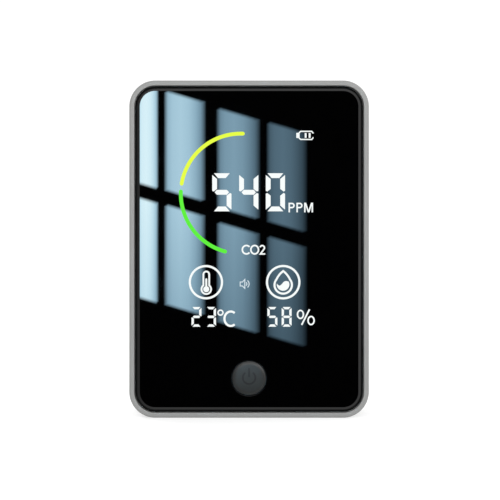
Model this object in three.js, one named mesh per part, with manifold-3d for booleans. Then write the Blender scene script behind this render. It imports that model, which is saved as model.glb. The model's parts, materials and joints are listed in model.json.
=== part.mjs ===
// A free-standing carbon dioxide monitor with a black glass front, a lit readout and a round power button.
// Millimetres, +Z up. The glass faces -Y, and the origin is the middle of the base.
import * as THREE from "three";
import { mergeVertices } from "three/addons/utils/BufferGeometryUtils.js";
import Module from "manifold-3d";

const wasm = await Module();
wasm.setup();

// ---- Driving dimensions ----

const WIDTH = 70;
const HEIGHT = 98.5;
const DEPTH = 26;
const CORNER = 7.6; // radius of the outline's corners, seen from the front
const RIM = 1.5; // width of the housing's rim round the glass
const RIM_ROUND = 0.8; // rounding of the rim's outer edge
const BACK_ROUND = 2.6; // rounding of the rear cover's outer edge
const WALL = 2;
const GLASS_GAP = 0.6; // between the rim and the glass
const GLASS_BEVEL = 1; // width of the glass's bevelled edge
const GLASS_BEVEL_DROP = 0.5;
const MIDDLE = HEIGHT / 2;

// Depths are measured from the front of the rim, towards the back.
const GLASS_FRONT = 0.3;
const GLASS_BACK = 2.3;
const PLATE_FRONT = 2.6; // the front housing's plate, which carries the glass
const PLATE_BACK = 4.2;
const BOARD_FRONT = 8.4;
const BOARD_BACK = 9.4;
const SPLIT = 14; // where the front housing ends
const SPLIT_GAP = 0.3; // shadow gap between the two housings
const REAR_WALL = 23.8; // inner face of the rear cover's wall

const CLEAR = 0.05; // between pieces that are soldered or glued face to face
const OVER = 1; // how far a cutter runs past what it cuts
const ARC_STEPS = 3; // half the number of chords in a quarter of a corner
const FEW_ARC_STEPS = 1; // the same, for a small piece
const ROUND_STEPS = 2; // chords in a rounded edge
const ROUND_SIDES = 16; // sides of a round piece
const FEW_SIDES = 12; // sides of a small round piece
const BUTTON_SIDES = 28;

// Case screws and board screws, as distances from the centre line and heights.
const CASE_SCREW_X = 28.6;
const CASE_SCREW_Z = [6.85, HEIGHT - 6.85];
const CASE_SCREW_SEAT = 21.5;
const BOARD_SCREW_X = 27.5;
const BOARD_SCREW_Z = [34, 80];

// The power button and the tactile switch behind it.
const BUTTON_Z = 11.6;
const BUTTON_RADIUS = 5;
const BUTTON_HOLE_RADIUS = 5.2;
const FLANGE_RADIUS = 6.1;
const FLANGE_HOLE_RADIUS = 6.5;
const SWITCH_SIDE = 6;
const SWITCH_COVER_FRONT = 4.5;

// The readout's light box, and the lit shapes in it. Angles are in degrees.
const DISPLAY = { x: -0.5, z: 55.5, width: 44, height: 62 };
const BIG_DIGITS = { xs: [-7.95, -0.12, 7.64], z: 65.85, width: 5.9, height: 11.3, stroke: 1.5 };
const SMALL_DIGITS = { xs: [-15.3, -11, 6.8, 11], z: 29.5, width: 3.2, height: 6, stroke: 0.8 };
const GAUGE = { x: -2.4, z: 65.45, radius: 17.5, stroke: 1.15, starts: [-5, 87, 176.5], sweep: 82 };
const GAUGE_NAMES = ["gauge_high", "gauge_middle", "gauge_low"];
const ROUND_ICONS = [
  { name: "temperature_icon", x: -12.6, z: 39.6, radius: 5 },
  { name: "humidity_icon", x: 10, z: 39.6, radius: 5 },
];
const LABEL_WELLS = [
  { name: "gas_unit", x: 15.1, z: 61.3, width: 8, height: 3.6 },
  { name: "gas_name", x: 1.3, z: 49.1, width: 7.6, height: 3.6 },
  { name: "battery_level", x: 16.3, z: 82.5, width: 5.8, height: 3.6 },
  { name: "alarm_sign", x: -1.2, z: 39.1, width: 3.8, height: 3.8 },
  { name: "temperature_unit", x: -6.6, z: 29.4, width: 3.2, height: 5.4 },
  { name: "humidity_unit", x: 16.5, z: 29.4, width: 5.8, height: 5.4 },
];

// The USB-C socket in the right-hand side.
const USB = { z: 22, width: 8.94, height: 3.26, wall: 0.3, length: 7.35, mouth: WIDTH / 2 - 0.8 };
const USB_DEPTH = BOARD_BACK + CLEAR + USB.height / 2;

// The gas sensor, behind the rear grille.
const SENSOR = { z: 74, width: 33, height: 20, front: 12, board: 1, chamberDepth: 7 };
const GRILLE = { z: 74, slots: 6, pitch: 4, length: 34, slot: 1.6 };
const SIDE_VENT = { lowest: 54, slots: 9, pitch: 4, slot: 1.6, front: 17, back: 23 };

const BATTERY = { x: 9, z: 36, width: 34, height: 50, front: 15.4, back: 23.3, round: 3 };
const BUZZER = { x: -21, z: 20, radius: 4.8, height: 5 };

// ---- Materials ----

function plain(color, roughness, metalness = 0) {
  return new THREE.MeshStandardMaterial({ color, roughness, metalness });
}

const MATERIALS = {
  housing: plain(0xa5a5a3, 0.5),
  glass: plain(0x050506, 0.05),
  button: plain(0x3c4042, 0.55),
  reflector: plain(0xe9e9e6, 0.6),
  film: plain(0x0b0b0c, 0.4),
  tape: plain(0x151515, 0.9),
  board: plain(0x1d4a2f, 0.45),
  chip: plain(0x17181a, 0.5),
  steel: plain(0xc4c6c8, 0.3, 1),
  brass: plain(0xc9a352, 0.3, 1),
  cell: plain(0xb9bdc2, 0.35, 0.8),
  white: plain(0xf0efe9, 0.7),
  foam: plain(0x26272a, 0.95),
  mesh: plain(0x2d2e30, 0.8),
  red: plain(0xb02a24, 0.5),
  light_white: plain(0xf4faf8, 0.5),
  light_yellow: plain(0xe8ff42, 0.5),
  light_green: plain(0x5aff32, 0.5),
};

// ---- From three.js geometries to solids and back ----

function solidOf(geometry) {
  const bare = geometry.clone();
  bare.deleteAttribute("normal");
  bare.deleteAttribute("uv");
  const merged = mergeVertices(bare, 1e-4);
  const mesh = new wasm.Mesh({
    numProp: 3,
    vertProperties: merged.attributes.position.array,
    triVerts: new Uint32Array(merged.index.array),
  });
  return new wasm.Manifold(mesh);
}

function geometryOf(solid) {
  const mesh = solid.getMesh();
  const geometry = new THREE.BufferGeometry();
  geometry.setAttribute("position", new THREE.BufferAttribute(mesh.vertProperties, 3));
  geometry.setIndex(new THREE.BufferAttribute(mesh.triVerts, 1));
  geometry.computeVertexNormals();
  return geometry;
}

const joined = (first, ...rest) => rest.reduce((sum, piece) => sum.add(piece), first);
const without = (first, ...cuts) => cuts.reduce((left, cut) => left.subtract(cut), first);

const atDepth = (depth) => depth - DEPTH / 2;

// ---- Basic forms ----

function roundedRect(width, height, radius, x = 0, z = MIDDLE) {
  const right = x + width / 2;
  const left = x - width / 2;
  const top = z + height / 2;
  const bottom = z - height / 2;
  const quarter = Math.PI / 2;
  const shape = new THREE.Shape();
  shape.moveTo(right, bottom + radius);
  shape.lineTo(right, top - radius);
  shape.absarc(right - radius, top - radius, radius, 0, quarter);
  shape.lineTo(left + radius, top);
  shape.absarc(left + radius, top - radius, radius, quarter, 2 * quarter);
  shape.lineTo(left, bottom + radius);
  shape.absarc(left + radius, bottom + radius, radius, 2 * quarter, 3 * quarter);
  shape.lineTo(right - radius, bottom);
  shape.absarc(right - radius, bottom + radius, radius, 3 * quarter, 4 * quarter);
  return shape;
}

// An outline in X and Z, run from one depth to another. bevel is {across, along, steps} of both end edges.
function slab(shape, front, back, bevel = null, curveSegments = ARC_STEPS) {
  const along = bevel ? bevel.along : 0;
  const geometry = new THREE.ExtrudeGeometry(shape, {
    depth: back - front - 2 * along,
    curveSegments,
    bevelEnabled: Boolean(bevel),
    bevelThickness: along,
    bevelSize: bevel ? bevel.across : 0,
    bevelOffset: bevel ? -bevel.across : 0,
    bevelSegments: bevel ? bevel.steps : 0,
  });
  geometry.rotateX(Math.PI / 2);
  geometry.translate(0, atDepth(back - along), 0);
  return solidOf(geometry);
}

function box(x, z, width, height, front, back) {
  const geometry = new THREE.BoxGeometry(width, back - front, height);
  geometry.translate(x, atDepth((front + back) / 2), z);
  return solidOf(geometry);
}

// A cylinder along the depth.
function rod(x, z, radius, front, back, sides = ROUND_SIDES) {
  const geometry = new THREE.CylinderGeometry(radius, radius, back - front, sides);
  geometry.translate(x, atDepth((front + back) / 2), z);
  return solidOf(geometry);
}

// A turned piece: profile lists [radius, depth] from the axis at the front to the axis at the back.
function turned(x, z, profile, sides = ROUND_SIDES) {
  const points = profile.map(([radius, depth]) => new THREE.Vector2(radius, atDepth(depth)));
  const geometry = new THREE.LatheGeometry(points, sides);
  geometry.translate(x, 0, z);
  return solidOf(geometry);
}

// A racetrack outline run along X, for the USB-C socket. Its flat sides face the front and back.
function racetrackAlongX(width, height, from, to) {
  const radius = height / 2;
  const straight = width / 2 - radius;
  const shape = new THREE.Shape();
  shape.absarc(straight, 0, radius, -Math.PI / 2, Math.PI / 2);
  shape.absarc(-straight, 0, radius, Math.PI / 2, (3 * Math.PI) / 2);
  const options = { depth: to - from, curveSegments: 2, bevelEnabled: false };
  const geometry = new THREE.ExtrudeGeometry(shape, options);
  geometry.rotateY(Math.PI / 2);
  geometry.translate(from, atDepth(USB_DEPTH), USB.z);
  return solidOf(geometry);
}

// ---- The readout's lit shapes, as cutters through the light box ----

const SEGMENT_GAP = 0.18;

// One bar of a seven-segment digit: a long hexagon between two points, with pointed ends.
function bar(x0, z0, x1, z1, stroke, front, back) {
  const along = new THREE.Vector2(x1 - x0, z1 - z0).normalize();
  const side = new THREE.Vector2(-along.y, along.x).multiplyScalar(stroke / 2);
  const start = new THREE.Vector2(x0, z0).addScaledVector(along, SEGMENT_GAP);
  const end = new THREE.Vector2(x1, z1).addScaledVector(along, -SEGMENT_GAP);
  const inset = stroke / 2;
  const points = [
    start,
    start.clone().addScaledVector(along, inset).sub(side),
    end.clone().addScaledVector(along, -inset).sub(side),
    end,
    end.clone().addScaledVector(along, -inset).add(side),
    start.clone().addScaledVector(along, inset).add(side),
  ];
  return slab(new THREE.Shape(points), front, back);
}

// The ends of the seven bars of a digit that stands at x, z.
function barEnds({ z, width, height, stroke }, x) {
  const right = x + (width - stroke) / 2;
  const left = x - (width - stroke) / 2;
  const top = z + (height - stroke) / 2;
  const bottom = z - (height - stroke) / 2;
  return [
    [left, top, right, top],
    [left, z, right, z],
    [left, bottom, right, bottom],
    [left, z, left, top],
    [right, z, right, top],
    [left, bottom, left, z],
    [right, bottom, right, z],
  ];
}

function allBars() {
  return [BIG_DIGITS, SMALL_DIGITS].flatMap((digits) =>
    digits.xs.flatMap((x) => barEnds(digits, x).map((ends) => [ends, digits.stroke])),
  );
}

function gaugeShape(startDegrees, inset = 0) {
  const { x, z, radius, stroke, sweep } = GAUGE;
  const start = THREE.MathUtils.degToRad(startDegrees) + inset / radius;
  const end = THREE.MathUtils.degToRad(startDegrees + sweep) - inset / radius;
  const shape = new THREE.Shape();
  shape.absarc(x, z, radius + stroke / 2 - inset, start, end);
  shape.absarc(x, z, radius - stroke / 2 + inset, end, start, true);
  return shape;
}

function lightWells(front, back) {
  return [
    ...allBars().map(([ends, stroke]) => bar(...ends, stroke, front, back)),
    ...GAUGE.starts.map((start) => slab(gaugeShape(start), front, back)),
    ...ROUND_ICONS.map(({ x, z, radius }) => rod(x, z, radius, front, back)),
    ...LABEL_WELLS.map(({ x, z, width, height }) => box(x, z, width, height, front, back)),
  ];
}

// The clear guides that fill the wells of the gauge, icons and labels, each with its name.
function lightGuides() {
  const gap = 0.1;
  const front = PLATE_FRONT + 0.15;
  const back = BOARD_FRONT - 0.7;
  return [
    ...GAUGE.starts.map((start, i) => [GAUGE_NAMES[i], slab(gaugeShape(start, gap), front, back)]),
    ...ROUND_ICONS.map(({ name, x, z, radius }) => [name, rod(x, z, radius - gap, front, back)]),
    ...LABEL_WELLS.map(({ name, x, z, width, height }) => [
      name,
      box(x, z, width - 2 * gap, height - 2 * gap, front, back),
    ]),
  ];
}

// Where the light-emitting diodes stand: two in each gauge arc, and one in each other lit shape.
function diodePlaces() {
  const places = allBars().map(([[x0, z0, x1, z1]]) => ({ x: (x0 + x1) / 2, z: (z0 + z1) / 2 }));
  for (const start of GAUGE.starts)
    for (const share of [0.2, 0.8]) {
      const angle = THREE.MathUtils.degToRad(start + share * GAUGE.sweep);
      const x = GAUGE.x + GAUGE.radius * Math.cos(angle);
      const z = GAUGE.z + GAUGE.radius * Math.sin(angle);
      places.push({ x, z });
    }
  return [...places, ...ROUND_ICONS, ...LABEL_WELLS];
}

// ---- Housings and glass ----

// The four places of a set of screws: left lower, left upper, right lower, right upper.
const fourPlaces = (offset, heights) => [-offset, offset].flatMap((x) => heights.map((z) => ({ x, z })));

const CASE_SCREWS = fourPlaces(CASE_SCREW_X, CASE_SCREW_Z);
const BOARD_SCREWS = fourPlaces(BOARD_SCREW_X, BOARD_SCREW_Z);

function casePosts(radius, front, back, sides = FEW_SIDES) {
  return CASE_SCREWS.map(({ x, z }) => rod(x, z, radius, front, back, sides));
}

function boardPosts(radius, front, back) {
  return BOARD_SCREWS.map(({ x, z }) => rod(x, z, radius, front, back, FEW_SIDES));
}

const outline = () => roundedRect(WIDTH, HEIGHT, CORNER);
const insideOutline = (wall) => roundedRect(WIDTH - 2 * wall, HEIGHT - 2 * wall, CORNER - wall);

function frontHousing() {
  const rounding = { across: RIM_ROUND, along: RIM_ROUND, steps: ROUND_STEPS };
  const frontPart = box(0, MIDDLE, 2 * WIDTH, 2 * HEIGHT, -OVER, SPLIT);
  const block = slab(outline(), 0, DEPTH, rounding).intersect(frontPart);
  const glassPocket = slab(insideOutline(RIM), -OVER, PLATE_FRONT);
  const inside = slab(insideOutline(WALL), PLATE_BACK, SPLIT + OVER);
  const shell = without(block, glassPocket, inside);
  const foot = PLATE_BACK - 0.5;
  const posts = joined(shell, ...casePosts(3, foot, SPLIT), ...boardPosts(2.3, foot, BOARD_FRONT - CLEAR));
  const { x, z, width, height } = DISPLAY;
  const displayWindow = box(x, z, width + 1, height + 1, 0, PLATE_BACK + OVER);
  const buttonHole = rod(0, BUTTON_Z, FLANGE_HOLE_RADIUS, 0, PLATE_BACK + OVER, BUTTON_SIDES);
  const wallInside = WIDTH / 2 - WALL - OVER;
  const socketHole = racetrackAlongX(USB.width + 0.7, USB.height + 0.7, wallInside, WIDTH / 2 + OVER);
  return without(
    posts,
    displayWindow,
    buttonHole,
    socketHole,
    ...casePosts(1.1, 7, SPLIT + OVER),
    ...boardPosts(0.85, 4.9, BOARD_FRONT + OVER),
  );
}

function sideVents(side) {
  const x = side * (WIDTH / 2 - WALL / 2);
  const across = WALL + 2 * OVER;
  const { lowest, slots, pitch, slot, front, back } = SIDE_VENT;
  return Array.from({ length: slots }, (_, i) => box(x, lowest + i * pitch, across, slot, front, back));
}

function rearGrille() {
  const { z, slots, pitch, length, slot } = GRILLE;
  const lowest = z - ((slots - 1) * pitch) / 2;
  const endRadius = slot / 2 - 0.01; // just under half, so that the ends keep a short straight
  return Array.from({ length: slots }, (_, i) => {
    const shape = roundedRect(length, slot, endRadius, 0, lowest + i * pitch);
    return slab(shape, REAR_WALL - OVER, DEPTH + OVER, null, FEW_ARC_STEPS);
  });
}

// Seven sound holes over the buzzer: one in the middle and six round it.
function soundHoles() {
  const ring = Array.from({ length: 6 }, (_, i) => (i * Math.PI) / 3);
  const places = [[0, 0], ...ring.map((angle) => [3 * Math.cos(angle), 3 * Math.sin(angle)])];
  return places.map(([x, z]) => rod(BUZZER.x + x, BUZZER.z + z, 0.65, REAR_WALL - OVER, DEPTH + OVER, 8));
}

function rearHousing() {
  const start = SPLIT + SPLIT_GAP;
  const rounding = { across: BACK_ROUND, along: BACK_ROUND, steps: ROUND_STEPS + 1 };
  const backPart = box(0, MIDDLE, 2 * WIDTH, 2 * HEIGHT, start, DEPTH + OVER);
  const block = slab(outline(), 0, DEPTH, rounding).intersect(backPart);
  const shell = without(block, slab(insideOutline(WALL), SPLIT - OVER, REAR_WALL));
  const root = start + 1.6;
  const insideTongue = slab(insideOutline(WALL + 1), SPLIT - 1 - OVER, root + OVER);
  const tongue = without(slab(insideOutline(WALL + 0.2), SPLIT - 1, root), insideTongue);
  const tongueRoot = without(slab(insideOutline(WALL - 0.5), start, root), insideTongue);
  const posts = joined(shell, tongue, tongueRoot, ...casePosts(3.2, SPLIT + 0.4, REAR_WALL + 0.5));
  return without(
    posts,
    ...casePosts(1.2, SPLIT - OVER, CASE_SCREW_SEAT + OVER),
    ...casePosts(2.4, CASE_SCREW_SEAT, DEPTH + OVER, ROUND_SIDES),
    ...sideVents(-1),
    ...sideVents(1),
    ...rearGrille(),
    ...soundHoles(),
  );
}

const glassOutline = (inset) => insideOutline(RIM + GLASS_GAP + inset);

function frontGlass() {
  const bevel = { across: GLASS_BEVEL, along: GLASS_BEVEL_DROP, steps: 1 };
  const bevelled = slab(glassOutline(0), GLASS_FRONT, GLASS_BACK + 2, bevel);
  const pane = bevelled.intersect(slab(glassOutline(-OVER), 0, GLASS_BACK));
  return without(pane, rod(0, BUTTON_Z, BUTTON_HOLE_RADIUS, -OVER, DEPTH, BUTTON_SIDES));
}

// A black gasket that holds the glass and fills the bottom of the gap round it.
function glassAdhesive() {
  const front = GLASS_BACK + CLEAR;
  const back = PLATE_FRONT - CLEAR;
  const window = slab(glassOutline(3.6), front - OVER, back + OVER);
  return without(slab(insideOutline(RIM + 0.1), front, back), window);
}

// ---- Readout ----

const displayBlock = (front, back) => box(DISPLAY.x, DISPLAY.z, DISPLAY.width, DISPLAY.height, front, back);

const displayFilm = () => displayBlock(GLASS_BACK + 0.1, PLATE_FRONT);

function displayReflector() {
  const front = PLATE_FRONT + 0.1;
  const back = BOARD_FRONT - 0.1;
  return without(displayBlock(front, back), ...lightWells(front - OVER, back + OVER));
}

// ---- Main board ----

function mainBoard() {
  const edge = 3.5; // from the case's outside to the board's edge
  const notch = 2 * (WIDTH / 2 - CASE_SCREW_X + 4.2); // twice the room that a case post needs
  const front = BOARD_FRONT - OVER;
  const back = BOARD_BACK + OVER;
  const corners = [-1, 1].flatMap((side) =>
    [0, HEIGHT].map((z) => box((side * WIDTH) / 2, z, notch, notch + 5, front, back)),
  );
  const plate = slab(roundedRect(WIDTH - 2 * edge, HEIGHT - 2 * edge - 1, 1.5), BOARD_FRONT, BOARD_BACK);
  const diodes = diodePlaces().map(({ x, z }) => box(x, z, 0.6, 0.6, BOARD_FRONT - 0.5, BOARD_FRONT + 0.2));
  return joined(without(plate, ...corners, ...boardPosts(1.1, front, back)), ...diodes);
}

// A soldered part on the back of the board.
const onBoard = (x, z, width, height, thickness) =>
  box(x, z, width, height, BOARD_BACK + CLEAR, BOARD_BACK + CLEAR + thickness);

function electrolytic(x, z) {
  const foot = BOARD_BACK + CLEAR;
  return turned(x, z, [[0, foot], [2, foot], [2, foot + 4.3], [1.85, foot + 4.5], [0, foot + 4.5]]);
}

// ---- Power button and its switch ----

// A shallow crown, a chamfered rim, a skirt, a flange behind the glass and a pip on the switch.
function powerButton() {
  const profile = [
    [0, 0.1],
    [2.4, 0.16],
    [BUTTON_RADIUS - 0.55, 0.3],
    [BUTTON_RADIUS, 0.7],
    [BUTTON_RADIUS, 2.75],
    [FLANGE_RADIUS, 2.75],
    [FLANGE_RADIUS, 3.4],
    [1.6, 3.4],
    [1.6, 3.8],
    [0, 3.8],
  ];
  return turned(0, BUTTON_Z, profile, BUTTON_SIDES);
}

function switchBase() {
  const front = SWITCH_COVER_FRONT + 0.3;
  const block = box(0, BUTTON_Z, SWITCH_SIDE, SWITCH_SIDE, front, BOARD_FRONT - CLEAR);
  return without(block, rod(0, BUTTON_Z, 2.6, front - OVER, 7.6));
}

function switchCover() {
  const plate = box(0, BUTTON_Z, SWITCH_SIDE, SWITCH_SIDE, SWITCH_COVER_FRONT, SWITCH_COVER_FRONT + 0.25);
  return without(plate, rod(0, BUTTON_Z, 1.9, 0, DEPTH / 2));
}

function switchPlunger() {
  const stem = [[0, 3.85], [1.6, 3.85], [1.75, 4], [1.75, 5]];
  const foot = [[2.3, 5], [2.3, 5.8], [0.8, 5.8], [0.7, 5.9], [0, 5.9]];
  return turned(0, BUTTON_Z, [...stem, ...foot]);
}

// The snap dome that the plunger presses: a thin, shallow shell.
function switchDome() {
  const outside = [[0, 6.35], [1.2, 6.55], [2.4, 7.3]];
  const inside = [[2.4, 7.5], [2.2, 7.5], [1.2, 6.75], [0, 6.55]];
  return turned(0, BUTTON_Z, [...outside, ...inside]);
}

// ---- USB-C socket ----

function usbShell() {
  const { width, height, mouth } = USB;
  const walls = USB.wall * 2;
  const back = mouth - USB.length;
  const inside = racetrackAlongX(width - walls, height - walls, back + 0.5, mouth + OVER);
  return without(racetrackAlongX(width, height, back, mouth), inside);
}

function usbTongue() {
  const back = USB.mouth - USB.length + 0.55;
  const play = USB.wall * 2 + 2 * CLEAR;
  const block = racetrackAlongX(USB.width - play, USB.height - play, back, back + 1.4);
  const reach = USB.length - 1.8;
  const tongue = box(back + reach / 2, USB.z, reach, 6.6, USB_DEPTH - 0.35, USB_DEPTH + 0.35);
  return joined(block, tongue);
}

// ---- Gas sensor and humidity sensor ----

const SENSOR_BACK = SENSOR.front + SENSOR.board;
const CHAMBER_BACK = SENSOR_BACK + CLEAR + SENSOR.chamberDepth;

function sensorBoard() {
  const shape = roundedRect(SENSOR.width, SENSOR.height, 1, 0, SENSOR.z);
  return slab(shape, SENSOR.front, SENSOR_BACK, null, FEW_ARC_STEPS);
}

// The folded optical chamber: a long tube with the lamp's and the detector's ends standing up from it.
function sensorChamber() {
  const front = SENSOR_BACK + CLEAR;
  const edge = { across: 0.8, along: 0.8, steps: 1 };
  const body = slab(roundedRect(27, 14, 2, 0, SENSOR.z), front, CHAMBER_BACK, edge, FEW_ARC_STEPS);
  const lamp = rod(-10.5, SENSOR.z, 2.4, front, CHAMBER_BACK + 0.6);
  const detector = rod(10.5, SENSOR.z, 3.2, front, CHAMBER_BACK + 0.4);
  return joined(body, lamp, detector);
}

function sensorFilter() {
  const shape = roundedRect(13, 9, 1.5, 0, SENSOR.z);
  return slab(shape, CHAMBER_BACK + CLEAR, CHAMBER_BACK + 0.3, null, FEW_ARC_STEPS);
}

// A strip of pins between the main board and the sensor's board.
function sensorHeader(x) {
  const pins = 4;
  const pitch = 2.54;
  const strip = box(x, SENSOR.z, 2.4, pins * pitch, BOARD_BACK + CLEAR, SENSOR.front - 0.3);
  const studs = Array.from({ length: pins }, (_, i) =>
    box(x, SENSOR.z + (i - (pins - 1) / 2) * pitch, 0.64, 0.64, SENSOR.front - 0.5, SENSOR.front - CLEAR),
  );
  return joined(strip, ...studs);
}

function sensorGasket() {
  const front = CHAMBER_BACK + 0.6 + CLEAR;
  const back = REAR_WALL - 0.4;
  return without(
    slab(roundedRect(38, 25, 3, 0, SENSOR.z), front, back),
    slab(roundedRect(34.4, 21.8, 2, 0, SENSOR.z), front - OVER, back + OVER),
  );
}

// ---- Battery, its leads and its connector ----

const PLUG = { x: 24, z: 66, front: BOARD_BACK + 3.2, back: BOARD_BACK + 7 };

function batteryCell() {
  const shape = roundedRect(BATTERY.width, BATTERY.height, BATTERY.round, BATTERY.x, BATTERY.z);
  return slab(shape, BATTERY.front, BATTERY.back, { across: 1.6, along: 1.6, steps: 2 }, 2);
}

const batteryTape = () =>
  box(BATTERY.x, BATTERY.z, BATTERY.width - 8, BATTERY.height - 8, BATTERY.back + CLEAR, REAR_WALL - CLEAR);

// The socket is open to the back, where the plug goes in.
function batterySocket() {
  const block = onBoard(PLUG.x, PLUG.z, 8, 5.6, 5.6);
  return without(block, box(PLUG.x, PLUG.z, 6.4, 4, PLUG.front - 0.4, DEPTH));
}

const batteryPlug = () => box(PLUG.x, PLUG.z, 6, 3.6, PLUG.front, PLUG.back);

// One lead, from the plug's back down to the cell's top edge. step is -1 or 1, for the lead's side.
function batteryLead(step) {
  const radius = 0.6;
  const sides = 6;
  const cellTop = BATTERY.z + BATTERY.height / 2;
  const start = new THREE.Vector3(PLUG.x + step, atDepth(PLUG.back + CLEAR), PLUG.z);
  const end = new THREE.Vector3(BATTERY.x + 13 + step, atDepth(19.3), cellTop + CLEAR);
  const route = new THREE.CatmullRomCurve3([
    start,
    start.clone().add(new THREE.Vector3(0, 1, 0)),
    new THREE.Vector3((start.x + end.x) / 2, atDepth(19.2), PLUG.z - 1.9),
    end.clone().add(new THREE.Vector3(0, 0, 1)),
    end,
  ]);
  const circle = Array.from({ length: sides }, (_, i) => {
    const angle = (2 * Math.PI * i) / sides;
    return new THREE.Vector2(radius * Math.cos(angle), radius * Math.sin(angle));
  });
  const options = { steps: 12, extrudePath: route, bevelEnabled: false };
  return new THREE.ExtrudeGeometry(new THREE.Shape(circle), options);
}

// ---- Buzzer and fasteners ----

function buzzer() {
  const front = BOARD_BACK + CLEAR;
  const back = front + BUZZER.height;
  const body = rod(BUZZER.x, BUZZER.z, BUZZER.radius, front, back);
  return without(body, rod(BUZZER.x, BUZZER.z, 1, back - 1.2, back + OVER, FEW_SIDES));
}

// A cross-head screw driven from the back: its head's underside is at seat and its tip at tip.
function screw(x, z, seat, tip, shankRadius, headRadius, headHeight) {
  const top = seat + headHeight;
  const profile = [
    [0, tip],
    [shankRadius * 0.4, tip],
    [shankRadius, tip + shankRadius],
    [shankRadius, seat],
    [headRadius, seat],
    [headRadius, top - headHeight * 0.35],
    [headRadius * 0.72, top],
    [0, top],
  ];
  const slot = headRadius * 0.24;
  const length = headRadius * 1.1;
  const floor = top - headHeight * 0.6;
  const cross = [box(x, z, length, slot, floor, top + OVER), box(x, z, slot, length, floor, top + OVER)];
  return without(turned(x, z, profile, FEW_SIDES), ...cross);
}

const caseScrew = (x, z) => screw(x, z, CASE_SCREW_SEAT + CLEAR, 8, 0.95, 2.1, 1.5);
const boardScrew = (x, z) => screw(x, z, BOARD_BACK + CLEAR, 5.3, 0.75, 1.8, 1.2);

function ventMesh(side) {
  const middle = SIDE_VENT.lowest + ((SIDE_VENT.slots - 1) * SIDE_VENT.pitch) / 2;
  return box(side * (WIDTH / 2 - WALL - 0.2), middle, 0.2, 35, SIDE_VENT.front - 0.4, SIDE_VENT.back + 0.4);
}

// ---- Assembly ----

const monitor = new THREE.Group();

function add(name, shape, material, parent = monitor) {
  const geometry = shape.isBufferGeometry ? shape : geometryOf(shape);
  const mesh = new THREE.Mesh(geometry, MATERIALS[material]);
  mesh.name = name;
  parent.add(mesh);
}

add("front_housing", frontHousing(), "housing");
add("rear_housing", rearHousing(), "housing");
add("front_glass", frontGlass(), "glass");
add("glass_adhesive", glassAdhesive(), "tape");
add("display_film", displayFilm(), "film");
add("display_reflector", displayReflector(), "reflector");

const GUIDE_COLOURS = { gauge_high: "reflector", gauge_middle: "light_yellow", gauge_low: "light_green" };
for (const [name, guide] of lightGuides()) add(`${name}_guide`, guide, GUIDE_COLOURS[name] ?? "light_white");

add("main_board", mainBoard(), "board");
add("microcontroller", onBoard(-19, 50, 9, 9, 1.2), "chip");
add("led_driver", onBoard(-6, 54, 7.5, 10, 1.5), "chip");
add("charger_chip", onBoard(19, 33, 4, 5, 1.4), "chip");
add("power_inductor", onBoard(19, 24.5, 6, 6, 3), "foam");
add("crystal", onBoard(-19, 41.5, 5, 3.2, 0.9), "steel");
add("capacitor_1", electrolytic(10, 22), "cell");
add("capacitor_2", electrolytic(10, 29), "cell");

add("switch_base", switchBase(), "chip");
add("switch_cover", switchCover(), "steel");
add("switch_dome", switchDome(), "steel");

add("usb_shell", usbShell(), "steel");
add("usb_tongue", usbTongue(), "chip");

add("gas_sensor_board", sensorBoard(), "board");
add("gas_sensor_chamber", sensorChamber(), "brass");
add("gas_sensor_filter", sensorFilter(), "white");
add("gas_sensor_header_left", sensorHeader(-14.5), "chip");
add("gas_sensor_header_right", sensorHeader(14.5), "chip");
add("gas_sensor_gasket", sensorGasket(), "foam");

add("humidity_sensor_board", onBoard(-27, 62, 6, 12, 0.8), "board");
add("humidity_sensor", box(-27, 62, 2.5, 2.5, BOARD_BACK + 0.9, BOARD_BACK + 1.8), "white");

add("battery_cell", batteryCell(), "cell");
add("battery_tape", batteryTape(), "tape");
add("battery_socket", batterySocket(), "white");
add("battery_plug", batteryPlug(), "white");
add("battery_lead_positive", batteryLead(1), "red");
add("battery_lead_negative", batteryLead(-1), "tape");

add("buzzer", buzzer(), "chip");
add("vent_mesh_left", ventMesh(-1), "mesh");
add("vent_mesh_right", ventMesh(1), "mesh");
add("grille_mesh", box(0, GRILLE.z, 37, 24.6, REAR_WALL - 0.3, REAR_WALL - CLEAR), "mesh");

CASE_SCREWS.forEach(({ x, z }, i) => add(`case_screw_${i + 1}`, caseScrew(x, z), "steel"));
BOARD_SCREWS.forEach(({ x, z }, i) => add(`board_screw_${i + 1}`, boardScrew(x, z), "steel"));

const button = new THREE.Group();
add("power_button", powerButton(), "button", button);
monitor.add(button);

const plunger = new THREE.Group();
add("switch_plunger", switchPlunger(), "chip", plunger);
monitor.add(plunger);

export default monitor;
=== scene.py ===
import json
import math

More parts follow.
